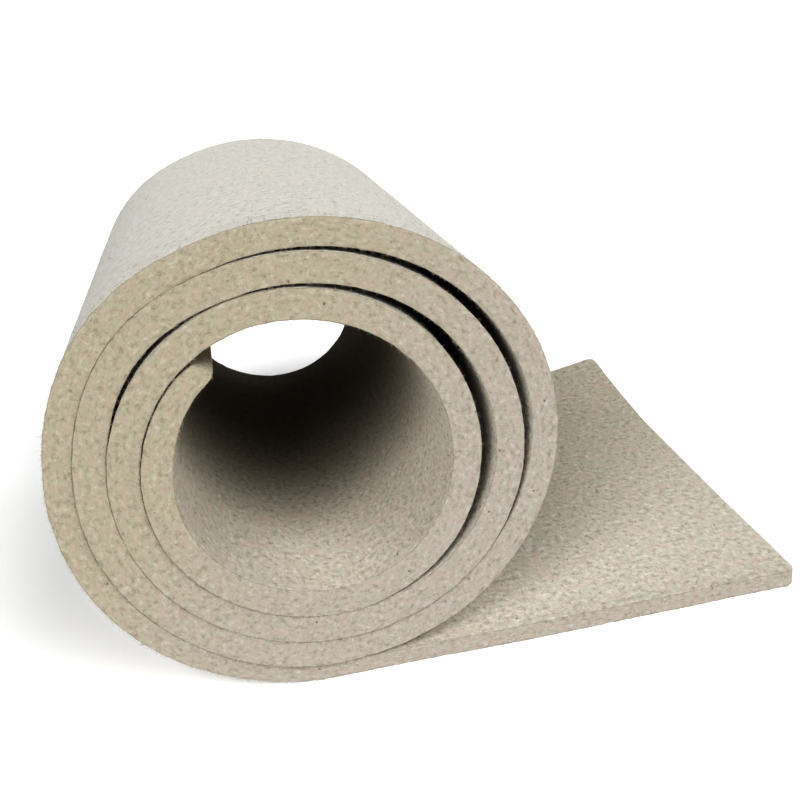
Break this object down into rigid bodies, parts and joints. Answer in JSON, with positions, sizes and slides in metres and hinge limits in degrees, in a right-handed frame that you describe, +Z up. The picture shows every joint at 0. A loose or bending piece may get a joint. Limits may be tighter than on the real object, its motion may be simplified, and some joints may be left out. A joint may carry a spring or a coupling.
{
  "type": "roll of felt",
  "caption": "Strip of thick natural wool felt wound into a loose open-cored roll, with its outer end lying flat beside it.",
  "frame": {"origin": "on the floor, in the middle of the object's box", "axes": "+X along the loose end, away from the roll; +Y along the roll's axis, from the near cut face to the far one; +Z up"},
  "size_m": [0.2736, 0.2362, 0.1674],
  "materials": {
    "wool_felt": "matte heathered wool felt"
  },
  "bodies": {
    "root": {"felt_strip": "wool_felt"}
  },
  "joints": []
}
